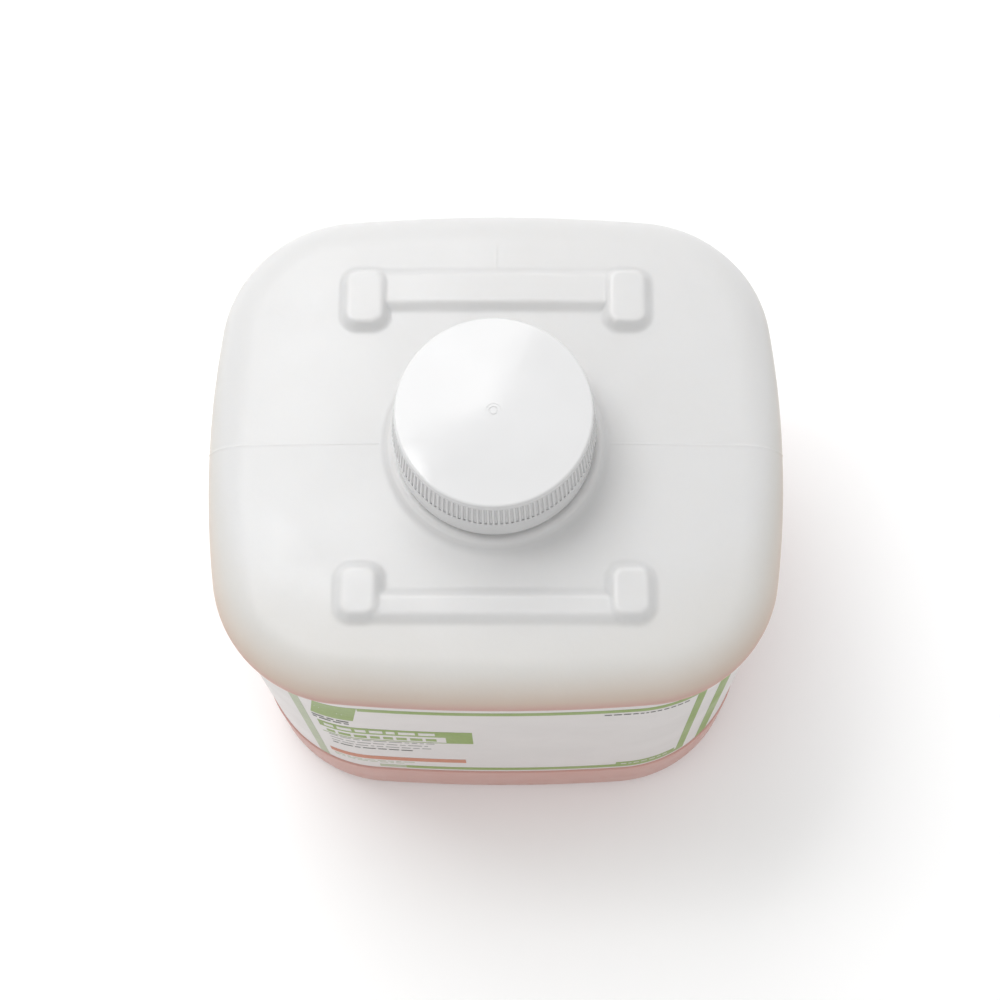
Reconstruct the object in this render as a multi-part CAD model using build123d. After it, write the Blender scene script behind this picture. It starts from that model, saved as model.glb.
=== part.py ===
from build123d import *
import math
import os

# Five-litre square detergent bottle: a blow-moulded body with a wrap-round label, its liquid,
# and a screw cap with a sealing liner and a tamper-evident band. Millimetres, +Z up, front at -Y,
# origin on the ground under the middle of the bottle.

# ---- bottle body ----
half_width = 96.0            # the shoulder's plan, from the middle to a side
half_depth = 86.5            # the shoulder's plan, from the middle to the front
side_bow_radius = 345.0      # the sides bow outwards on this radius
front_bow_radius = 675.0     # the front and back bow outwards on this radius
corner_radius = 46.0         # upright corners
deck_height = 179.4          # deck at the middle, under the neck
deck_crown_radius = 1450.0   # the deck is a very shallow dome
shoulder_radius = 16.4       # roll between the deck and the sides
base_radius = 7.0            # roll between the sides and the base
wall = 1.5                   # polyethylene wall

# ---- waist: below the shoulder roll the body is a little narrower, most of all at its corners ----
waist_side = 2.1
waist_front = 0.4
waist_corner = 2.0           # added to the corner radius

# ---- label panel and label ----
panel_bottom = 37.0
panel_top = 165.6
panel_depth = 0.9            # how far the panel is set back from the waist
label_thickness = 0.25
label_clearance = 1.2        # bare panel above and below the label
label_seam_gap = 0.6         # at the middle of the back
label_glue = 0.03

# ---- base push-up ----
push_up_inset = 16.0         # foot ring left round the push-up
push_up_height = 3.0
push_up_taper = 45.0

# ---- deck ribs: two pads joined by a lower bar, at the back and at the front ----
# Each rib has its pads' middle in Y, their length, its bar's middle in Y and the bar's width,
# all at the deck's surface.
back_rib = (50.7, 24.0, 54.0, 16.6)
front_rib = (-49.8, 21.6, -54.3, 12.4)
pad_x = 43.5
pad_width = 17.6
pad_height = 4.1
pad_corner = 6.0
pad_draft = 40.0
bar_height = 2.4
bar_draft = 45.0
bar_corner = 4.0
rib_crest_radius = 1.4
rib_root = 3.0               # the rib shapes start this far below the deck

# ---- neck ----
boss_radius = 35.6
boss_height = 3.4
boss_crest_radius = 2.8
neck_radius = 27.2
neck_bore_radius = 24.6
rim_radius = 1.0
bead_radius = 30.9
bead_bottom = 190.4
bead_land = 1.6              # upright part, below the lead-in slope for the band
bead_top = 194.4

# ---- screw cap ----
cap_top = 212.0
cap_plate = 1.9
cap_top_radius = 31.0
cap_skirt_radius = 32.6
cap_skirt_bottom = 196.6
cap_bore_radius = 29.1
cap_edge_radius = 0.8
cap_rim_height = 2.4         # plain band between the top and the ribs
crown_height = 3.4           # the plain band with its lip, which hangs over the ribs' tops
crown_overhang = 0.1         # the lip stands this far outside the ribs
rib_count = 120
rib_depth = 0.55
rib_crest_share = 0.36       # of the ribs' spacing, flat on the crest
rib_foot_share = 0.68        # of the ribs' spacing, where the flanks meet the groove
gate_dish_radius = 2.4       # a shallow dish round the moulding gate
gate_dish_depth = 0.15
gate_mark_radius = 1.5       # a ring groove in the dish
gate_mark_width = 0.5
gate_mark_depth = 0.35
liner_thickness = 1.6
liner_radius = 28.6

# ---- thread, right-hand, one start ----
thread_pitch = 6.0
neck_thread_turns = 1.5
neck_thread_bottom = 197.4
neck_thread_height = 1.6
neck_thread_root = 3.0
neck_thread_crest = 1.5
cap_thread_height = 1.5
cap_thread_root = 2.4
cap_thread_crest = 1.1
cap_thread_turns = 1.25
cap_thread_start = 0.46      # turns after the start of the neck's thread
cap_thread_drop = 2.25       # below the neck's thread, so their flanks nearly touch
thread_bite = 0.4            # how far a thread's root goes into its wall

# ---- tamper-evident band ----
band_outer_radius = 32.4
band_inner_radius = 31.3
band_bottom = 184.2
band_top = 196.1
band_edge_radius = 0.4
hook_count = 8
hook_arc = 32.0              # degrees covered by each hook
hook_inner_radius = 28.2
hook_top = 189.9             # just under the neck's bead
hook_thickness = 1.0
bridge_count = 12
bridge_width = 1.4
bridge_depth = 0.8
bridge_height = 0.3

# ---- liquid ----
fill_level = 164.0
liquid_gap = 0.05            # between the liquid and the wall

rim_height = cap_top - cap_plate - liner_thickness
boolean_slack = 5.0          # how far cutting tools run past what they cut
search_slack = 1.0           # how far from its height an edge is looked for


def outline(inset=0.0, height=0.0, waist=False):
    """The plan of the shoulder or the waist, moved inwards by inset: eight tangent arcs."""
    a, b = half_width - inset, half_depth - inset
    r_side = side_bow_radius - inset
    r_front = front_bow_radius - inset
    r_corner = corner_radius - inset
    if waist:
        a -= waist_side
        b -= waist_front
        r_corner += waist_corner
    side_x, front_y = a - r_side, b - r_front
    reach_side, reach_front = r_side - r_corner, r_front - r_corner
    apart = math.hypot(side_x, front_y)
    along = (reach_side ** 2 - reach_front ** 2 + apart ** 2) / (2 * apart)
    across = math.sqrt(reach_side ** 2 - along ** 2)
    ux, uy = -side_x / apart, front_y / apart
    corner_x = side_x + along * ux - across * uy
    corner_y = along * uy + across * ux
    turn_side = math.atan2(corner_y, corner_x - side_x)
    turn_front = math.atan2(corner_y - front_y, corner_x)
    turn_middle = (turn_side + turn_front) / 2
    side_end = (side_x + r_side * math.cos(turn_side), r_side * math.sin(turn_side))
    front_end = (r_front * math.cos(turn_front), front_y + r_front * math.sin(turn_front))
    corner = (
        corner_x + r_corner * math.cos(turn_middle),
        corner_y + r_corner * math.sin(turn_middle),
    )

    def at(point, sx, sy):
        return (sx * point[0], sy * point[1], height)

    arcs = []
    for sx, sy in ((1, 1), (-1, 1), (-1, -1), (1, -1)):
        arcs.append(ThreePointArc(at(side_end, sx, sy), at(corner, sx, sy), at(front_end, sx, sy)))
    for sx in (1, -1):
        arcs.append(ThreePointArc(at(side_end, sx, 1), (sx * a, 0, height), at(side_end, sx, -1)))
    for sy in (1, -1):
        arcs.append(ThreePointArc(at(front_end, 1, sy), (0, sy * b, height), at(front_end, -1, sy)))
    return make_face(Wire(arcs))


def slab(inset, low, high, waist=False):
    """The body's plan, extruded between two heights."""
    return extrude(outline(inset, low, waist), amount=high - low, dir=(0, 0, 1))


def cylinder(radius, low, high):
    return Pos(0, 0, low) * Cylinder(radius, high - low, align=(Align.CENTER, Align.CENTER, Align.MIN))


def ring(outer, inner, low, high):
    return cylinder(outer, low, high) - cylinder(inner, low - boolean_slack, high + boolean_slack)


def turned(points):
    """A solid turned about the upright axis, from (radius, height) points."""
    profile = make_face(Polyline(*[(r, 0, z) for r, z in points], close=True))
    return revolve(profile, Axis.Z)


def edges_at(solid, low, high):
    """Edges that lie wholly between two heights."""
    chosen = []
    for edge in solid.edges():
        box = edge.bounding_box()
        if box.min.Z > low and box.max.Z < high:
            chosen.append(edge)
    return chosen


def deck_at(x, y):
    """Height of the deck's shallow dome at a place in plan."""
    return deck_height - deck_crown_radius + math.sqrt(deck_crown_radius ** 2 - x * x - y * y)


def bulb(inset):
    """Closed shape of the body without neck and ribs, moved inwards by inset."""
    blank = slab(inset, inset, deck_height + boolean_slack)
    dome_radius = deck_crown_radius - inset
    dome = Pos(0, 0, deck_height - deck_crown_radius) * Sphere(dome_radius)
    blank = blank & dome
    low_deck = deck_at(half_width, half_depth) - inset - search_slack
    blank = fillet(edges_at(blank, low_deck, deck_height), shoulder_radius - inset)
    low, high = panel_bottom - inset, panel_top + inset
    beside_waist = slab(inset - boolean_slack, -boolean_slack, high)
    beside_waist -= slab(inset, -boolean_slack, high, waist=True)
    blank -= beside_waist
    blank = fillet(edges_at(blank, inset - search_slack, inset + search_slack), base_radius - inset)
    beside_panel = slab(inset - boolean_slack, low, high)
    beside_panel -= slab(inset + panel_depth, low, high, waist=True)
    return blank - beside_panel


def drafted(width, length, corner, x, y, draft, rise, inset):
    """A rounded rectangle, its size given at the deck, that narrows upwards from below the deck."""
    grow = rib_root * math.tan(math.radians(draft)) - inset
    plan = RectangleRounded(width + 2 * grow, length + 2 * grow, corner + grow)
    return extrude(
        Pos(x, y, deck_at(x, y) - rib_root) * plan,
        amount=rib_root + rise - inset,
        dir=(0, 0, 1),
        taper=draft,
    )


def deck_ribs(inset):
    """The two dumbbell ribs, moved inwards by inset."""
    shapes = []
    for pad_y, pad_length, bar_y, bar_width in (back_rib, front_rib):
        shapes.append(
            drafted(2 * pad_x, bar_width, bar_corner, 0, bar_y, bar_draft, bar_height, inset)
        )
        for x in (pad_x, -pad_x):
            pad = drafted(
                pad_width, pad_length, pad_corner, x, pad_y, pad_draft, pad_height, inset
            )
            shapes.append(fillet(pad.faces().sort_by(Axis.Z)[-1].edges(), rib_crest_radius))
    return shapes


def helical_ridge(radius, root, crest, height, low, turns, outwards):
    """A trapezoid thread wound on a cylinder, with its root sunk into the wall."""
    way = 1 if outwards else -1
    sink = radius - way * thread_bite
    tip = radius + way * height
    path = Helix(thread_pitch, thread_pitch * turns, radius, center=(0, 0, low))
    profile = make_face(
        Polyline(
            (sink, 0, low - root / 2),
            (tip, 0, low - crest / 2),
            (tip, 0, low + crest / 2),
            (sink, 0, low + root / 2),
            close=True,
        )
    )
    return sweep(profile, path=path, is_frenet=True)


def push_up(grow):
    """The raised middle of the base as a cutting shape, grown outwards by grow."""
    return extrude(
        outline(push_up_inset - grow - boolean_slack, -boolean_slack, waist=True),
        amount=boolean_slack + push_up_height + grow,
        dir=(0, 0, 1),
        taper=push_up_taper,
    )


def neck_solid():
    """The neck's outside: boss, wall, retaining bead and thread."""
    boss = cylinder(boss_radius, deck_height - rib_root, deck_height + boss_height)
    boss = fillet(boss.faces().sort_by(Axis.Z)[-1].edges(), boss_crest_radius)
    neck = cylinder(neck_radius, deck_height, rim_height)
    neck = fillet(neck.faces().sort_by(Axis.Z)[-1].edges(), rim_radius)
    bead_root = (neck_bore_radius + neck_radius) / 2
    bead = turned(
        [
            (bead_root, bead_bottom),
            (bead_radius, bead_bottom),
            (bead_radius, bead_bottom + bead_land),
            (neck_radius, bead_top),
            (bead_root, bead_top),
        ]
    )
    thread = helical_ridge(
        neck_radius,
        neck_thread_root,
        neck_thread_crest,
        neck_thread_height,
        neck_thread_bottom,
        neck_thread_turns,
        True,
    )
    return boss + neck + bead + thread


def bottle_body():
    outer = bulb(0)
    cavity = bulb(wall)
    for shape in deck_ribs(0):
        outer += shape
    for shape in deck_ribs(wall):
        cavity += shape
    outer += neck_solid()
    cavity += cylinder(boss_radius - wall, deck_height - rib_root, deck_height + boss_height - wall)
    cavity += cylinder(neck_bore_radius, deck_height, rim_height + boolean_slack)
    cavity -= push_up(wall)
    return outer - push_up(0) - cavity


def wrap_label():
    low, high = panel_bottom + label_clearance, panel_top - label_clearance
    film = slab(panel_depth - label_glue - label_thickness, low, high, waist=True)
    film -= slab(panel_depth - label_glue, low - boolean_slack, high + boolean_slack, waist=True)
    seam = Box(label_seam_gap, 2 * boolean_slack, high - low + 2 * boolean_slack)
    return film - Pos(0, half_depth, (low + high) / 2) * seam


def detergent_fill():
    """The liquid, from the base up to its level."""
    inset = wall + liquid_gap
    headspace = slab(-boolean_slack, fill_level, deck_height + boolean_slack)
    return bulb(inset) - headspace - push_up(inset)


def ribbed_plan(radius, height):
    """The cap's skirt in plan: ribs with flat crests round a circle."""
    root = radius - rib_depth
    foot, crest = rib_foot_share / 2, rib_crest_share / 2
    tooth = ((-foot, root), (-crest, radius), (crest, radius), (foot, root))
    points = []
    for rib in range(rib_count):
        for place, r in tooth:
            angle = 2 * math.pi * (rib + place) / rib_count
            points.append((r * math.cos(angle), r * math.sin(angle), height))
    return make_face(Polyline(*points, close=True))


def screw_cap():
    ribs_top = cap_top - cap_rim_height
    flare = (cap_skirt_radius - cap_top_radius) / (cap_top - cap_skirt_bottom)
    ribs_top_radius = cap_top_radius + flare * cap_rim_height
    skirt = loft(
        [ribbed_plan(cap_skirt_radius, cap_skirt_bottom), ribbed_plan(ribs_top_radius, ribs_top)],
        ruled=True,
    )
    crown_radius = ribs_top_radius + crown_overhang
    crown_low = cap_top - crown_height
    crown = turned(
        [
            (0, crown_low),
            (crown_radius, crown_low),
            (crown_radius, ribs_top),
            (cap_top_radius, cap_top),
            (0, cap_top),
        ]
    )
    crown = fillet(crown.faces().sort_by(Axis.Z)[-1].edges(), cap_edge_radius)
    cap = skirt + crown
    cap -= cylinder(cap_bore_radius, cap_skirt_bottom - boolean_slack, cap_top - cap_plate)
    thread = helical_ridge(
        cap_bore_radius,
        cap_thread_root,
        cap_thread_crest,
        cap_thread_height,
        neck_thread_bottom - cap_thread_drop + thread_pitch * cap_thread_start,
        cap_thread_turns,
        False,
    )
    cap += Rot(0, 0, 360 * cap_thread_start) * thread
    cap -= cylinder(gate_dish_radius, cap_top - gate_dish_depth, cap_top + boolean_slack)
    groove_low = cap_top - gate_mark_depth
    return cap - ring(gate_mark_radius, gate_mark_radius - gate_mark_width, groove_low, cap_top)


def cap_liner():
    return cylinder(liner_radius, rim_height, rim_height + liner_thickness)


def tamper_band():
    band = ring(band_outer_radius, band_inner_radius, band_bottom, band_top)
    outer_edge = band.edges().filter_by(GeomType.CIRCLE).group_by(Axis.Z)[0].sort_by(SortBy.RADIUS)[-1]
    band = fillet(outer_edge, band_edge_radius)
    root = band_inner_radius + band_edge_radius
    flap = make_face(
        Polyline(
            (root, 0, band_bottom + hook_thickness / 2),
            (hook_inner_radius, 0, hook_top - hook_thickness / 2),
            (hook_inner_radius, 0, hook_top),
            (hook_inner_radius + hook_thickness, 0, hook_top),
            (root, 0, band_bottom + 2 * hook_thickness),
            close=True,
        )
    )
    hook = revolve(flap, Axis.Z, revolution_arc=hook_arc)
    for step in range(hook_count):
        band += Rot(0, 0, 360 * step / hook_count) * hook
    reach = (band_outer_radius + band_inner_radius) / 2
    bridge = Pos(reach, 0, band_top) * Box(bridge_depth, bridge_width, 2 * bridge_height)
    for step in range(bridge_count):
        band += Rot(0, 0, 360 * (step + 0.5) / bridge_count) * bridge
    return band


def save(shape, node, colour):
    solids = shape.solids()
    whole = solids[0] if len(solids) == 1 else Compound(children=solids)
    whole.label = node
    whole.color = Color(*colour)
    export_step(whole, os.path.join("parts", node + ".step"))


def main():
    os.makedirs("parts", exist_ok=True)
    save(bottle_body(), "bottle_body", (0.90, 0.88, 0.85))
    save(detergent_fill(), "detergent_fill", (0.78, 0.52, 0.47))
    save(wrap_label(), "wrap_label", (0.93, 0.93, 0.92))
    save(screw_cap(), "screw_cap", (0.95, 0.95, 0.95))
    save(cap_liner(), "cap_liner", (0.85, 0.86, 0.88))
    save(tamper_band(), "tamper_band", (0.92, 0.92, 0.93))


main()
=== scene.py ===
# Looks of a square five-litre detergent bottle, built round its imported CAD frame.
# Shapes are worked out in millimetres and turned to metres as the meshes are made.

import math

import bmesh
import bpy
import numpy as np
from mathutils import Matrix, Vector


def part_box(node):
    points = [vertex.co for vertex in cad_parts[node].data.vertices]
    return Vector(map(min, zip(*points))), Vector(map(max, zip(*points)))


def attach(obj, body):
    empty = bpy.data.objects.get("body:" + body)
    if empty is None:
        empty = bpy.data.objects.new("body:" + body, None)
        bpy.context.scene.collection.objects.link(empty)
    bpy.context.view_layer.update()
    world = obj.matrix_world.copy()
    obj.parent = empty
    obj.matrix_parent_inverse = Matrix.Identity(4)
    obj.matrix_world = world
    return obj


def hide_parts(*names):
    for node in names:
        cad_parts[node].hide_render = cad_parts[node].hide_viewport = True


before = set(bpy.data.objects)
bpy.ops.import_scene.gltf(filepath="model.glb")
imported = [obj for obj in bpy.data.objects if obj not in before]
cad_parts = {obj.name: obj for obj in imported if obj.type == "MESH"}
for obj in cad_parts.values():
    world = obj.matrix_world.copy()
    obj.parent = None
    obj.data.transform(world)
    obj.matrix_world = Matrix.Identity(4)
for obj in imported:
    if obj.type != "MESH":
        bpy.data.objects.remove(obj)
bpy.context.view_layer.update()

MM = 0.001

# ---- sizes that the frame gives, in millimetres ----
label_low, label_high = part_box("wrap_label")
RIM_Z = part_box("bottle_body")[1].z / MM
LABEL_LOW = label_low.z / MM
LABEL_HIGH = label_high.z / MM

# ---- the body's other sizes, in millimetres ----
# the shoulder's plan and the waist's plan below it: half width, half depth, corner radius
SHOULDER_PLAN = (96.0, 86.5, 46.0)
WAIST_PLAN = (93.9, 86.1, 48.0)
SIDE_BOW = 345.0
FRONT_BOW = 675.0
WALL = 1.5
DECK_Z = 179.4
DECK_CROWN = 1450.0
SHOULDER = 16.4
BASE_ROLL = 7.0
PANEL_LOW = 37.0
PANEL_HIGH = 165.6
LEDGE_HEIGHT = 1.1           # of the soft ledge from the panel out to the shoulder roll
PANEL_FOOT = 1.6             # height of the panel's soft lower edge
PANEL_DEPTH = 0.9
FOOT_INSET = 16.0
PUSH_UP = 3.0
PAD_X = 43.5
PAD_HEIGHT = 4.1
PAD_CORNER = 4.5
BAR_HEIGHT = 2.4
BAR_SLOPE = 4.0
# each deck rib: its pads' middle in Y, their size half way up, the width of their flanks,
# its bar's middle in Y and the bar's width half way up
RIBS = (
    (50.7, (13.9, 20.3), 3.8, 54.0, 12.4),
    (-49.8, (13.4, 17.3), 4.3, -54.3, 8.4),
)
BOSS_RADIUS = 35.6
BOSS_HEIGHT = 3.4
BOSS_CREST = 2.8
BOSS_ROOT = 2.2
NECK_RADIUS = 27.2
BORE_RADIUS = 24.6
BEAD_RADIUS = 30.9
BEAD_LOW, BEAD_LAND, BEAD_HIGH = 190.4, 192.0, 194.4
THREAD_PITCH = 6.0
THREAD_START, THREAD_TURNS = 197.4, 1.5
THREAD_HEIGHT, THREAD_ROOT, THREAD_CREST = 1.6, 3.0, 1.5
THREAD_BITE = 0.4            # how far the thread's root goes into the wall
LABEL_INSET = 0.62
LABEL_FILM = 0.25
PRINT_LIFT = 0.05


# ---------------------------------------------------------------- plan outline

def plan_arcs(half_width, half_depth, round_corner):
    """A plan's nine arcs, anticlockwise from the middle of the front: centre, radius, angles."""
    side_x, back_y = half_width - SIDE_BOW, half_depth - FRONT_BOW
    reach_side, reach_back = SIDE_BOW - round_corner, FRONT_BOW - round_corner
    apart = math.hypot(side_x, back_y)
    along = (reach_side ** 2 - reach_back ** 2 + apart ** 2) / (2 * apart)
    across = math.sqrt(reach_side ** 2 - along ** 2)
    corner_x = side_x - along * side_x / apart - across * back_y / apart
    corner_y = along * back_y / apart - across * side_x / apart
    low = math.atan2(corner_y, corner_x - side_x)
    high = math.atan2(corner_y - back_y, corner_x)
    half = math.pi
    return [
        ((0, -back_y), FRONT_BOW, -half / 2, -high),
        ((corner_x, -corner_y), round_corner, -high, -low),
        ((side_x, 0), SIDE_BOW, -low, low),
        ((corner_x, corner_y), round_corner, low, high),
        ((0, back_y), FRONT_BOW, high, half - high),
        ((-corner_x, corner_y), round_corner, half - high, half - low),
        ((-side_x, 0), SIDE_BOW, half - low, half + low),
        ((-corner_x, -corner_y), round_corner, half + low, half + high),
        ((0, -back_y), FRONT_BOW, half + high, 1.5 * half),
    ]


def girth(arcs):
    """Length round a plan."""
    return sum(radius * (end - start) for _, radius, start, end in arcs)


SHOULDER_ARCS = plan_arcs(*SHOULDER_PLAN)
WAIST_ARCS = plan_arcs(*WAIST_PLAN)
GIRTH = girth(WAIST_ARCS)


def locate(distance, inset, arcs=WAIST_ARCS):
    """Point and outward normal on a plan moved inwards, a distance round it from the front middle."""
    distance = distance % girth(arcs)
    for centre, radius, start, end in arcs:
        length = radius * (end - start)
        if distance <= length:
            break
        distance -= length
    angle = start + distance / radius
    normal = np.array([math.cos(angle), math.sin(angle)])
    return np.array(centre) + (radius - inset) * normal, normal


# ---------------------------------------------------------------- mesh helpers

def smooth(value):
    """0 to 1 with soft ends."""
    value = np.clip(value, 0, 1)
    return value * value * (3 - 2 * value)


def mesh_object(name, points, faces, material, body, sharp_degrees=35):
    """A piece from points in millimetres, smooth but for its sharp edges, riding on a CAD body."""
    mesh = bpy.data.meshes.new(name)
    mesh.from_pydata([tuple(np.asarray(point) * MM) for point in points], [], faces)
    mesh.validate()
    work = bmesh.new()
    work.from_mesh(mesh)
    bmesh.ops.recalc_face_normals(work, faces=work.faces)
    work.to_mesh(mesh)
    work.free()
    mesh.shade_smooth()
    mesh.set_sharp_from_angle(angle=math.radians(sharp_degrees))
    mesh.materials.append(material)
    piece = bpy.data.objects.new(name, mesh)
    bpy.context.scene.collection.objects.link(piece)
    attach(piece, body)
    return piece


def stitch(rows):
    """Points and faces of a grid of rings of points, with a pole where a ring is one point."""
    points, faces, starts = [], [], []
    for row in rows:
        starts.append(len(points))
        points.extend(row)
    for low, high, low_row, high_row in zip(starts, starts[1:], rows, rows[1:]):
        count = max(len(low_row), len(high_row))
        for step in range(count):
            after = (step + 1) % count
            if len(low_row) == 1:
                faces.append((low, high + after, high + step))
            elif len(high_row) == 1:
                faces.append((low + step, low + after, high))
            else:
                faces.append((low + step, low + after, high + after, high + step))
    return points, faces


# ---------------------------------------------------------------- bottle body

COLUMNS = 520
SEAM_OFFSETS = (-0.5, -0.22, 0.0, 0.22, 0.5)
SEAM_HEIGHT = 0.14
MARK_HEIGHT = 0.10
MARK_FROM, MARK_FADE = 61.0, 3.0


def body_stations():
    """Places round the outline for the body's columns, closer together at the mould's lines."""
    seams = [GIRTH / 4, GIRTH / 2, 3 * GIRTH / 4]
    places = [GIRTH * step / COLUMNS for step in range(COLUMNS)]
    places = [place for place in places if min(abs(place - seam) for seam in seams) > 0.8]
    places += [seam + shift for seam in seams for shift in SEAM_OFFSETS]
    return sorted(places)


def columns_of(arcs):
    """Points and normals of a plan at the same shares of its girth as the stations have of the waist's."""
    found = [locate(place * girth(arcs) / GIRTH, 0, arcs) for place in STATIONS]
    return np.array([point for point, _ in found]), np.array([normal for _, normal in found])


STATIONS = body_stations()
WAIST = columns_of(WAIST_ARCS)
SHOULDERS = columns_of(SHOULDER_ARCS)


def line_lift(height, *places):
    """How far a fine raised line stands up at each column, along the columns at some places."""
    away = np.min([np.abs(np.array(STATIONS) - place) for place in places], axis=0)
    return height * np.clip(1 - away / SEAM_OFFSETS[-1], 0, 1)


SEAM_LIFT = line_lift(SEAM_HEIGHT, GIRTH / 4, 3 * GIRTH / 4)
MARK_LIFT = line_lift(MARK_HEIGHT, GIRTH / 2)


def inwards(inset, plan=WAIST):
    """A plan's columns moved inwards by an inset, one for all or one for each."""
    points, normals = plan
    return points - normals * np.reshape(inset, (-1, 1))


def raised(plan, height):
    """A ring of points from places in plan and a height, one for all or one for each."""
    return np.column_stack([plan, np.broadcast_to(height, len(plan))])


def deck_dome(plan):
    """Height of the deck's shallow dome at places in plan."""
    spread = plan[:, 0] ** 2 + plan[:, 1] ** 2
    return DECK_Z - DECK_CROWN + np.sqrt(DECK_CROWN ** 2 - spread)


def rounded_box_distance(plan, centre, size, corner):
    """Distance outside a rounded rectangle, negative inside."""
    away = np.abs(plan - np.array(centre)) - np.array(size) / 2 + corner
    outside = np.hypot(np.maximum(away[:, 0], 0), np.maximum(away[:, 1], 0))
    return outside + np.minimum(np.maximum(away[:, 0], away[:, 1]), 0) - corner


def rib_height(plan):
    """Height of the two dumbbell ribs above the deck: drafted pads joined by a lower bar."""
    height = np.zeros(len(plan))
    for pad_y, pad_size, pad_slope, bar_y, bar_width in RIBS:
        away = rounded_box_distance(plan, (0, bar_y), (2 * PAD_X, bar_width), 2.0)
        height = np.maximum(height, BAR_HEIGHT * smooth(0.5 - away / BAR_SLOPE))
        for pad_x in (PAD_X, -PAD_X):
            away = rounded_box_distance(plan, (pad_x, pad_y), pad_size, PAD_CORNER)
            height = np.maximum(height, PAD_HEIGHT * smooth(0.5 - away / pad_slope))
    return height


def skin_rows(inset):
    """Rings of the body's skin, moved inwards by inset, from the base's middle to the neck's boss."""
    seam = SEAM_LIFT if inset == 0 else 0 * SEAM_LIFT
    rows = [np.array([[0, 0, PUSH_UP + inset]])]
    middle = inwards(FOOT_INSET + PUSH_UP)
    for scale in (0.3, 0.6, 0.9, 1.0):
        rows.append(raised(middle * scale, PUSH_UP + inset))
    rows.append(raised(inwards(FOOT_INSET + 0.6 * PUSH_UP), 0.7 * PUSH_UP + inset))
    rows.append(raised(inwards(FOOT_INSET + 0.3 * PUSH_UP), 0.15 * PUSH_UP + inset))
    rows.append(raised(inwards(FOOT_INSET - 0.5), inset))
    radius = BASE_ROLL - inset
    for turn in np.linspace(0, math.pi / 2, 9):
        place = inwards(BASE_ROLL - radius * math.sin(turn) - seam * math.sin(turn))
        rows.append(raised(place, BASE_ROLL - radius * math.cos(turn)))
    rows.append(raised(inwards(inset - seam), (BASE_ROLL + PANEL_LOW) / 2))
    for step in np.linspace(0, 1, 7):
        depth = inset - seam + PANEL_DEPTH * smooth(step)
        rows.append(raised(inwards(depth), PANEL_LOW - inset + PANEL_FOOT * (step - 0.5)))
    for step in (0.25, 0.5, 0.75):
        rows.append(raised(inwards(inset + PANEL_DEPTH), PANEL_LOW + step * (PANEL_HIGH - PANEL_LOW)))
    edge = inwards(SHOULDER, SHOULDERS)
    slope = np.arcsin(np.hypot(edge[:, 0], edge[:, 1]) / DECK_CROWN)
    centre_z = deck_dome(edge) - SHOULDER / np.cos(slope)
    radius = SHOULDER - inset
    roll_low = PANEL_HIGH + inset
    first_turn = np.arcsin((roll_low - centre_z) / radius)
    last_turn = math.pi / 2 - slope
    panel_edge = inwards(inset + PANEL_DEPTH)
    roll_edge = inwards(SHOULDER - (radius + seam) * np.cos(first_turn), SHOULDERS)
    for step in np.linspace(0, 1, 7)[:-1]:
        place = panel_edge + (roll_edge - panel_edge) * smooth(step)
        rows.append(raised(place, roll_low + LEDGE_HEIGHT * (step - 1)))
    for step in np.linspace(0, 1, 17):
        turn = first_turn + step * (last_turn - first_turn)
        place = inwards(SHOULDER - (radius + seam) * np.cos(turn), SHOULDERS)
        rows.append(raised(place, centre_z + (radius + seam) * np.sin(turn)))
    away = np.hypot(edge[:, 0], edge[:, 1]).reshape(-1, 1)
    foot = edge / away * (BOSS_RADIUS + BOSS_ROOT)
    for step in np.linspace(0, 1, 58)[1:]:
        plan = edge * (1 - step) + foot * step
        mark = MARK_LIFT * smooth((plan[:, 1] - MARK_FROM) / MARK_FADE) if inset == 0 else 0
        rows.append(raised(plan, deck_dome(plan) + rib_height(plan) - inset + seam + mark))
    return rows


def circle_rows(profile):
    """Rings of a turned shape from (radius, height) points, in step with the body's columns."""
    brink = inwards(SHOULDER, SHOULDERS)
    way = brink / np.hypot(brink[:, 0], brink[:, 1]).reshape(-1, 1)
    return [raised(way * radius, height) for radius, height in profile]


def neck_profile():
    """The neck's section from the foot of its boss, over the rim and down its bore."""
    boss_top = DECK_Z + BOSS_HEIGHT
    foot_z = DECK_Z - BOSS_RADIUS ** 2 / (2 * DECK_CROWN)
    profile = []
    for turn in np.linspace(0.3, 1.3, 5):
        profile.append((
            BOSS_RADIUS + BOSS_ROOT * (1 - math.sin(turn)),
            foot_z + BOSS_ROOT * (1 - math.cos(turn)),
        ))
    for turn in np.linspace(0.3, math.pi / 2, 8):
        profile.append((
            BOSS_RADIUS - BOSS_CREST * (1 - math.cos(turn)),
            boss_top - BOSS_CREST * (1 - math.sin(turn)),
        ))
    profile += [(NECK_RADIUS + 1.0, boss_top), (NECK_RADIUS + 0.3, boss_top + 0.3)]
    profile += [(NECK_RADIUS, boss_top + 1.0), (NECK_RADIUS, BEAD_LOW)]
    profile += [(BEAD_RADIUS - 0.3, BEAD_LOW), (BEAD_RADIUS, BEAD_LOW + 0.3)]
    profile += [(BEAD_RADIUS, BEAD_LAND), (NECK_RADIUS, BEAD_HIGH), (NECK_RADIUS, 201.0)]
    for turn in np.linspace(0, math.pi / 2, 5):
        profile.append((NECK_RADIUS - 1 + math.cos(turn), RIM_Z - 1 + math.sin(turn)))
    for turn in np.linspace(0, math.pi / 2, 4):
        profile.append((BORE_RADIUS + 0.6 - 0.6 * math.sin(turn), RIM_Z - 0.6 + 0.6 * math.cos(turn)))
    inner_top = boss_top - WALL
    profile += [(BORE_RADIUS, inner_top), (BOSS_RADIUS - WALL, inner_top)]
    profile.append((BOSS_RADIUS - WALL, DECK_Z - WALL - 0.5))
    return profile


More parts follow.
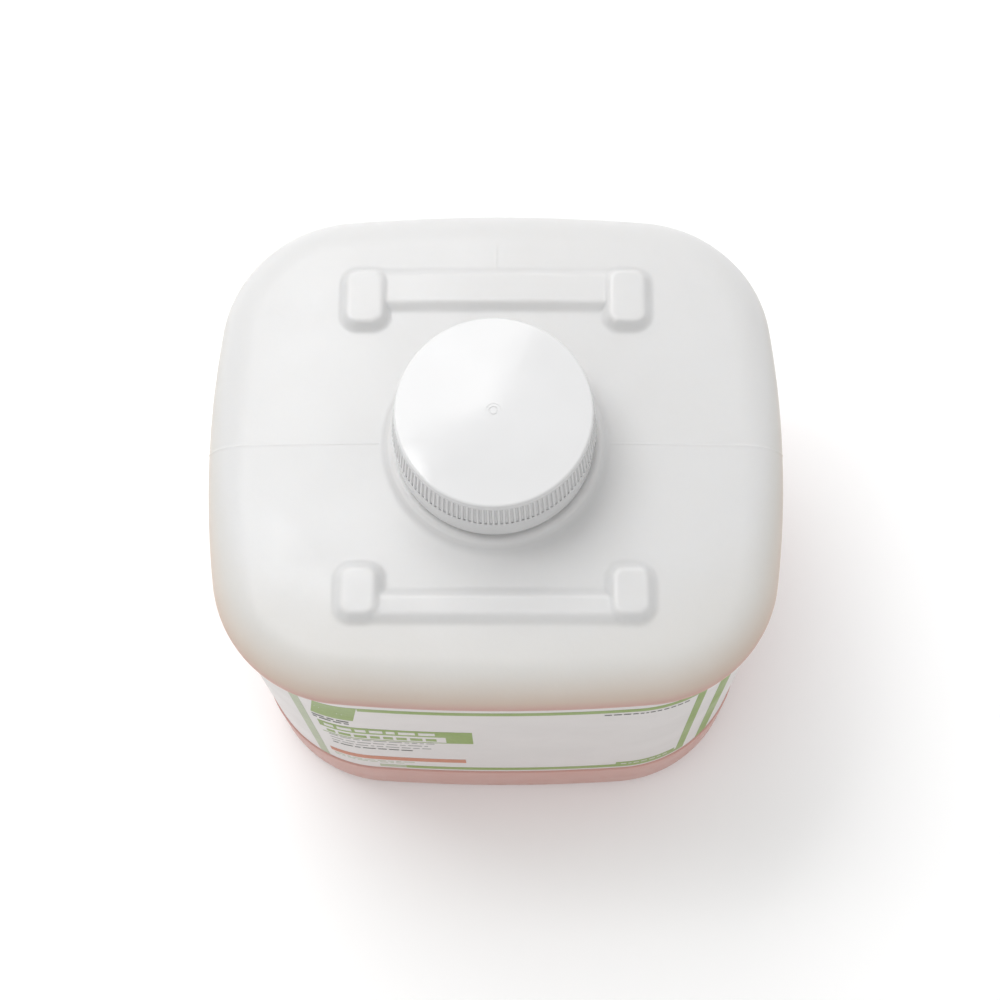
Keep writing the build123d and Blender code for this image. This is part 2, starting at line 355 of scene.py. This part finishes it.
def thread_rows():
    """Sections of the neck's thread, which rises from the wall and dies back into it."""
    rows = []
    turns = np.linspace(0, THREAD_TURNS, 110)
    for turn in turns:
        lead = smooth(min(turn, THREAD_TURNS - turn) / 0.07)
        tip = NECK_RADIUS + THREAD_HEIGHT * lead
        sink = NECK_RADIUS - THREAD_BITE
        height = THREAD_START + THREAD_PITCH * turn
        way = np.array([math.cos(2 * math.pi * turn), math.sin(2 * math.pi * turn)])
        section = (
            (sink, -THREAD_ROOT / 2),
            (tip, -THREAD_CREST / 2),
            (tip, THREAD_CREST / 2),
            (sink, THREAD_ROOT / 2),
        )
        row = []
        for radius, rise in section:
            row.append([way[0] * radius, way[1] * radius, height + rise])
        rows.append(np.array(row))
    return rows


def build_body(material):
    rows = skin_rows(0) + circle_rows(neck_profile()) + skin_rows(WALL)[::-1]
    points, faces = stitch(rows)
    thread_points, thread_faces = stitch(thread_rows())
    shift = len(points)
    faces += [tuple(index + shift for index in face) for face in thread_faces]
    faces.append(tuple(range(shift, shift + 4)))
    last = shift + len(thread_points)
    faces.append(tuple(range(last - 4, last)))
    body = mesh_object(
        "body_skin", list(points) + list(thread_points), faces, material, "bottle", 50
    )
    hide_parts("bottle_body")
    return body


# ---------------------------------------------------------------- label and its print

OVERLAP = 7.0


def wrapped_rows(place_from, place_to, low, high, inset, thickness, slant=0.0, step=1.6):
    """Rings of a thin film on the label's curve: each row is one section across the film."""
    count = max(2, int(abs(place_to - place_from) / step) + 1)
    rows = []
    for share in np.linspace(0, 1, count):
        place = place_from + share * (place_to - place_from)
        section = []
        corners = ((low, inset), (high, inset), (high, inset + thickness), (low, inset + thickness))
        for height, depth in corners:
            lean = slant * (height - low) / (high - low)
            point, _ = locate(place + lean, depth)
            section.append([point[0], point[1], height])
        rows.append(np.array(section))
    return rows


def film(place_from, place_to, low, high, inset, thickness, slant=0.0):
    points, faces = stitch(wrapped_rows(place_from, place_to, low, high, inset, thickness, slant))
    faces.append((0, 1, 2, 3))
    last = len(points)
    faces.append((last - 4, last - 3, last - 2, last - 1))
    return list(points), faces


def build_label(material):
    """The wrapped film: its right-hand end laps over its left-hand end at the middle of the back."""
    rows = []
    count = 420
    start, end = -GIRTH / 2 + 0.3, GIRTH / 2 + OVERLAP
    for share in np.linspace(0, 1, count):
        place = start + share * (end - start)
        lap = smooth((place - GIRTH / 2 + 6) / 5) * (LABEL_FILM + 0.03)
        section = []
        for height, depth in (
            (LABEL_LOW, LABEL_INSET - lap),
            (LABEL_HIGH, LABEL_INSET - lap),
            (LABEL_HIGH, LABEL_INSET + LABEL_FILM - lap),
            (LABEL_LOW, LABEL_INSET + LABEL_FILM - lap),
        ):
            point, _ = locate(place, depth)
            section.append([point[0], point[1], height])
        rows.append(np.array(section))
    points, faces = stitch(rows)
    last = len(points)
    faces += [(0, 1, 2, 3), (last - 4, last - 3, last - 2, last - 1)]
    label = mesh_object("label_film", points, faces, material, "bottle")
    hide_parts("wrap_label")
    return label


def build_print(name, blocks, material, layer=1):
    """One ink: blocks are (from, to, low, high) round the bottle from the front's middle, in millimetres."""
    points, faces = [], []
    inset = LABEL_INSET - layer * PRINT_LIFT
    for block in blocks:
        slant = block[4] if len(block) > 4 else 0.0
        new_points, new_faces = film(*block[:4], inset, PRINT_LIFT * 0.8, slant)
        faces += [tuple(index + len(points) for index in face) for face in new_faces]
        points += new_points
    return mesh_object(name, points, faces, material, "bottle")


def text_row(seed, start, end, low, height, shortest=1.2, longest=5.0, gap=0.9):
    """A line of dashes that stands in for small print."""
    draw = np.random.RandomState(seed)
    blocks, place = [], start
    while place < end - shortest:
        length = min(draw.uniform(shortest, longest), end - place)
        blocks.append((place, place + length, low, low + height))
        place += length + gap
    return blocks


# ---------------------------------------------------------------- materials

class Shader:
    """A node material with one principled shader, and a few helpers to feed it."""

    def __init__(self, name, **values):
        self.material = bpy.data.materials.new(name)
        self.material.use_nodes = True
        self.tree = self.material.node_tree
        self.shader = self.tree.nodes["Principled BSDF"]
        for socket, value in values.items():
            self.shader.inputs[socket.replace("_", " ")].default_value = value
        self.place = self.tree.nodes.new("ShaderNodeTexCoord").outputs["Object"]

    def node(self, kind, **values):
        node = self.tree.nodes.new(kind)
        for name, value in values.items():
            setattr(node, name, value)
        return node

    def link(self, source, target):
        self.tree.links.new(source, target)

    def noise(self, scale, detail=3.0, stretch=(1, 1, 1)):
        spread = self.node("ShaderNodeMapping")
        spread.inputs["Scale"].default_value = stretch
        self.link(self.place, spread.inputs["Vector"])
        noise = self.node("ShaderNodeTexNoise")
        noise.inputs["Scale"].default_value = scale
        noise.inputs["Detail"].default_value = detail
        self.link(spread.outputs["Vector"], noise.inputs["Vector"])
        return noise.outputs["Fac"]

    def ramp(self, factor, stops):
        ramp = self.node("ShaderNodeValToRGB")
        ramp.color_ramp.elements.remove(ramp.color_ramp.elements[1])
        for index, (place, colour) in enumerate(stops):
            stop = ramp.color_ramp.elements[0] if index == 0 else ramp.color_ramp.elements.new(place)
            stop.position = place
            stop.color = (*colour, 1)
        self.link(factor, ramp.inputs["Fac"])
        return ramp.outputs["Color"]

    def span(self, value, low, high, to_low=0.0, to_high=1.0):
        span = self.node("ShaderNodeMapRange", interpolation_type="SMOOTHSTEP")
        span.inputs["From Min"].default_value = low
        span.inputs["From Max"].default_value = high
        span.inputs["To Min"].default_value = to_low
        span.inputs["To Max"].default_value = to_high
        self.link(value, span.inputs["Value"])
        return span.outputs["Result"]

    def axes(self):
        """The piece's own X, Y and Z."""
        split = self.node("ShaderNodeSeparateXYZ")
        self.link(self.place, split.inputs["Vector"])
        return split.outputs

    def mix(self, factor, first, second, blend="MIX"):
        mix = self.node("ShaderNodeMix", data_type="RGBA", blend_type=blend)
        for socket, value in (("Factor", factor), ("A", first), ("B", second)):
            target = next(
                item for item in mix.inputs
                if item.name == socket and item.type == ("VALUE" if socket == "Factor" else "RGBA")
            )
            if isinstance(value, bpy.types.NodeSocket):
                self.link(value, target)
            else:
                target.default_value = value if socket == "Factor" else (*value, 1)
        return next(item for item in mix.outputs if item.type == "RGBA")

    def bump(self, factor, strength, distance):
        bump = self.node("ShaderNodeBump")
        bump.inputs["Strength"].default_value = strength
        bump.inputs["Distance"].default_value = distance
        self.link(factor, bump.inputs["Height"])
        self.link(bump.outputs["Normal"], self.shader.inputs["Normal"])

    def feed(self, socket, source):
        self.link(source, self.shader.inputs[socket])


def body_material():
    """Translucent natural polyethylene: milky above the liquid, tinted pink by it below, with painted warm
    shade on the roll just above it that reaches higher towards the front.
    """
    look = Shader(
        "natural_polyethylene",
        Subsurface_Weight=1.0,
        Subsurface_Radius=(1.0, 0.95, 0.9),
        Subsurface_Scale=0.002,
        IOR=1.5,
    )
    axes = look.axes()
    haze = look.noise(9.0, 4.0)
    wobble = look.node("ShaderNodeMath", operation="MULTIPLY_ADD")
    look.link(haze, wobble.inputs[0])
    wobble.inputs[1].default_value = 0.003
    # leaning by Y lifts the painted shade band higher at the front
    shade_tilt = look.node("ShaderNodeMath", operation="MULTIPLY_ADD")
    look.link(axes["Y"], shade_tilt.inputs[0])
    shade_tilt.inputs[1].default_value = PAINTED_SHADE_TILT
    look.link(axes["Z"], shade_tilt.inputs[2])
    look.link(shade_tilt.outputs[0], wobble.inputs[2])
    level = look.span(wobble.outputs[0], 0.0, TINT_REACH)
    level.node.interpolation_type = "LINEAR"
    # liquid pink below, then painted warm shade on the roll, then milky white
    liquid_and_shade = look.ramp(level, LIQUID_AND_PAINTED_SHADE_STOPS)
    mottled = look.ramp(haze, [(0.3, (0.97, 0.965, 0.96)), (0.7, (1, 1, 1))])
    look.feed("Base Color", look.mix(1.0, liquid_and_shade, mottled, "MULTIPLY"))
    look.feed("Roughness", look.span(look.noise(60.0, 5.0), 0.3, 0.7, 0.36, 0.46))
    look.bump(look.noise(420.0, 4.0), 0.12, 0.0003)
    return look.material


# Height, which counts for more towards the back, sets the colour up to TINT_REACH in metres, so the painted
# warm shade on the roll climbs higher towards the front.
PAINTED_SHADE_TILT = 0.08
TINT_REACH = 0.21
PINK = (0.50, 0.284, 0.247)
# pink of the liquid seen through the wall, then painted warm shade on the roll that is darkest at its foot,
# then plain milky white
LIQUID_AND_PAINTED_SHADE_STOPS = [
    (0.0, PINK),
    (0.160 / TINT_REACH, PINK),
    (0.164 / TINT_REACH, (0.56, 0.46, 0.39)),
    (0.168 / TINT_REACH, (0.59, 0.54, 0.49)),
    (0.172 / TINT_REACH, (0.60, 0.59, 0.57)),
    (0.176 / TINT_REACH, (0.635, 0.635, 0.635)),
    (1.0, (0.635, 0.635, 0.635)),
]


def film_material():
    """Satin printed film, white, a little warm and not quite even."""
    look = Shader("label_white", IOR=1.5, Specular_IOR_Level=0.35)
    tones = [(0.3, (0.59, 0.56, 0.548)), (0.7, (0.61, 0.58, 0.568))]
    look.feed("Base Color", look.ramp(look.noise(14.0), tones))
    look.feed("Roughness", look.span(look.noise(40.0), 0.3, 0.7, 0.28, 0.38))
    look.bump(look.noise(30.0, 2.0, (1, 1, 0.3)), 0.15, 0.0006)
    return look.material


def ink_material(name, colour):
    """Printing ink: its colour lightened and darkened a little by fine mottle."""
    look = Shader(name, IOR=1.5, Specular_IOR_Level=0.2)
    paler = tuple(channel * 1.08 for channel in colour)
    deeper = tuple(channel * 0.92 for channel in colour)
    look.feed("Base Color", look.ramp(look.noise(700.0, 5.0), [(0.35, deeper), (0.65, paler)]))
    look.feed("Roughness", look.span(look.noise(40.0), 0.3, 0.7, 0.32, 0.42))
    return look.material


def cap_material(name, flow_scale):
    """Injection-moulded white polypropylene, glossy, with faint flow marks."""
    look = Shader(
        name,
        IOR=1.5,
        Specular_IOR_Level=0.5,
        Subsurface_Weight=0.12,
        Subsurface_Radius=(1.0, 0.9, 0.85),
        Subsurface_Scale=0.0015,
    )
    tones = [(0.3, (0.61, 0.61, 0.612)), (0.7, (0.63, 0.63, 0.633))]
    look.feed("Base Color", look.ramp(look.noise(flow_scale, 2.0), tones))
    look.feed("Roughness", look.span(look.noise(90.0, 4.0), 0.3, 0.7, 0.05, 0.09))
    look.bump(look.noise(260.0, 3.0), 0.05, 0.0002)
    return look.material


def foam_material():
    """Closed-cell polyethylene foam: matt white, with fine cells."""
    look = Shader("liner_foam", IOR=1.45, Sheen_Weight=0.15)
    cells = look.node("ShaderNodeTexVoronoi")
    cells.inputs["Scale"].default_value = 1800.0
    look.link(look.place, cells.inputs["Vector"])
    tones = [(0.1, (0.72, 0.72, 0.70)), (0.6, (0.84, 0.84, 0.82))]
    look.feed("Base Color", look.ramp(cells.outputs["Distance"], tones))
    look.feed("Roughness", look.span(cells.outputs["Distance"], 0, 0.8, 0.75, 0.92))
    look.bump(cells.outputs["Distance"], 0.4, 0.0002)
    return look.material


def liquid_material():
    """Pink detergent, clear enough to shine and cloudy enough to hide the far wall."""
    look = Shader(
        "liquid_detergent",
        Roughness=0.05,
        IOR=1.35,
        Subsurface_Weight=0.4,
        Subsurface_Scale=0.01,
    )
    tones = [(0.3, (0.72, 0.34, 0.31)), (0.7, (0.78, 0.38, 0.35))]
    look.feed("Base Color", look.ramp(look.noise(6.0), tones))
    return look.material


def floor_material():
    look = Shader("floor_paper", Roughness=0.9, Specular_IOR_Level=0.1)
    tones = [(0.3, (0.965, 0.965, 0.965)), (0.7, (0.97, 0.97, 0.97))]
    look.feed("Base Color", look.ramp(look.noise(2.0, 1.0), tones))
    return look.material


# ---------------------------------------------------------------- the pieces

build_body(body_material())
build_label(film_material())

EDGE_TO_EDGE = (LABEL_LOW + 0.1, LABEL_HIGH - 0.1)
LINE_HIGH = (154.6, 159.4)
LINE_LOW = (41.0, 46.4)
BAND = (99.6, 122.4)
BAND_MIDDLE = 111.4
green = [
    (-45, 68, *LINE_HIGH),
    (-35, 68, *LINE_LOW),
    (68, 71.5, LINE_LOW[0], LINE_HIGH[1]),
    (77.8, 83.5, *EDGE_TO_EDGE),
    (-63, -48, 135.5, LINE_HIGH[1], 3.0),
    (-62, -17.7, BAND_MIDDLE, BAND[1]),
    (-17.7, -8.3, *BAND),
    (-62, -17.7, BAND[0], BAND[0] + 1.0),
    (44, 67, 43.5, 51.2),
]
green += text_row(9, -60, -20, 103.0, 4.6, 3.0, 6.0, 1.2)
build_print("print_green", green, ink_material("ink_green", (0.20, 0.29, 0.055)))
pale = [(-69.5, -65.5, *EDGE_TO_EDGE), (-45, -35, *LINE_LOW)]
pale += text_row(10, -62, -30, 53.4, 1.0) + text_row(11, -62, -34, 50.4, 1.0)
build_print("print_pale_green", pale, ink_material("ink_pale_green", (0.36, 0.40, 0.27)))
build_print("print_orange", [(-63, -12, 57, 64.5)], ink_material("ink_orange", (0.46, 0.148, 0.067)))
white = text_row(12, -60, -20, 114.4, 4.8, 3.0, 6.0, 1.2) + text_row(13, 46, 65, 46.4, 1.6, 0.8, 2.4, 0.8)
build_print("print_white", white, ink_material("ink_white", (0.60, 0.58, 0.56)), 2)
grey = text_row(3, -60, -21, 96.6, 1.3)
grey += text_row(4, -60, -24, 91.2, 1.3)
grey += text_row(14, -60, -22, 85.8, 1.3)
build_print("print_grey", grey, ink_material("ink_grey", (0.25, 0.25, 0.24)))
dark = text_row(6, -63, -48, 131.0, 1.8) + text_row(7, -63, -50, 127.0, 1.8)
dark += text_row(5, -60, -30, 80.6, 1.3) + text_row(8, 36, 65, 150.2, 1.4, 0.8, 2.6, 0.7)
build_print("print_dark", dark, ink_material("ink_dark", (0.08, 0.09, 0.07)), 2)

looks = {
    "screw_cap": cap_material("white_polypropylene", 40.0),
    "tamper_band": cap_material("band_polypropylene", 55.0),
    "cap_liner": foam_material(),
    "detergent_fill": liquid_material(),
}
for node_name, material in looks.items():
    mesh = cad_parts[node_name].data
    mesh.materials.clear()
    mesh.materials.append(material)


# ---------------------------------------------------------------- stage, light and camera

def build_floor(material):
    mesh = bpy.data.meshes.new("floor")
    reach = 12.0
    corners = [(-reach, -reach, 0), (reach, -reach, 0), (reach, reach, 0), (-reach, reach, 0)]
    mesh.from_pydata(corners, [], [(0, 1, 2, 3)])
    mesh.materials.append(material)
    floor = bpy.data.objects.new("floor", mesh)
    bpy.context.scene.collection.objects.link(floor)


def area_light(name, place, target, size, power, colour=(1, 1, 1)):
    data = bpy.data.lights.new(name, "AREA")
    data.size = size
    data.energy = power
    data.color = colour
    light = bpy.data.objects.new(name, data)
    light.location = place
    light.rotation_euler = (Vector(target) - Vector(place)).to_track_quat("-Z", "Y").to_euler()
    bpy.context.scene.collection.objects.link(light)


def softbox(name, corner, bisector_degrees, radius, strength):
    """An eight-sided softbox that faces down, placed by its corner nearest the camera."""
    data = bpy.data.materials.new(name)
    data.use_nodes = True
    data.node_tree.nodes.remove(data.node_tree.nodes["Principled BSDF"])
    glow = data.node_tree.nodes.new("ShaderNodeEmission")
    glow.inputs["Strength"].default_value = strength
    output = data.node_tree.nodes["Material Output"]
    data.node_tree.links.new(glow.outputs["Emission"], output.inputs["Surface"])
    bisector = math.radians(bisector_degrees)
    middle = Vector(corner) + radius * Vector((math.cos(bisector), math.sin(bisector), 0))
    rim = []
    for side in range(8):
        angle = bisector + math.pi - side * math.pi / 4
        rim.append(middle + radius * Vector((math.cos(angle), math.sin(angle), 0)))
    mesh = bpy.data.meshes.new(name)
    mesh.from_pydata(rim, [], [tuple(range(8))])
    mesh.materials.append(data)
    box = bpy.data.objects.new(name, mesh)
    box.visible_camera = False
    bpy.context.scene.collection.objects.link(box)


def build_world(strength):
    world = bpy.data.worlds.new("studio")
    world.use_nodes = True
    world.node_tree.nodes["Background"].inputs["Color"].default_value = (1, 1, 1, 1)
    world.node_tree.nodes["Background"].inputs["Strength"].default_value = strength
    bpy.context.scene.world = world


def build_camera():
    """The view from high in front: placed, aimed, then turned about its own axis."""
    place = Vector((0.01001, -0.20455, 0.81081))
    aim = Vector((0.00173, -0.01936, 0.1794))
    upward = Vector((-0.000482, 0.959575, 0.281453))
    axis = (aim - place).normalized()
    right = axis.cross(upward).normalized()
    upward = right.cross(axis)
    turned = Matrix((right, upward, -axis)).transposed().to_4x4()
    data = bpy.data.cameras.new("camera")
    data.lens = 73.28
    data.sensor_width = 36
    camera = bpy.data.objects.new("camera", data)
    camera.matrix_world = Matrix.Translation(place) @ turned
    bpy.context.scene.collection.objects.link(camera)
    bpy.context.scene.camera = camera


build_floor(floor_material())
build_world(0.84)
area_light("key", (-0.34, 0.24, 1.15), (0, 0, 0.1), 0.4, 4.7)
softbox("softbox", (-0.0145, 0.291, 1.062), 132, 0.4, 4.3)
build_camera()
bpy.context.scene.view_settings.view_transform = "Standard"
bpy.context.scene.view_settings.look = "None"
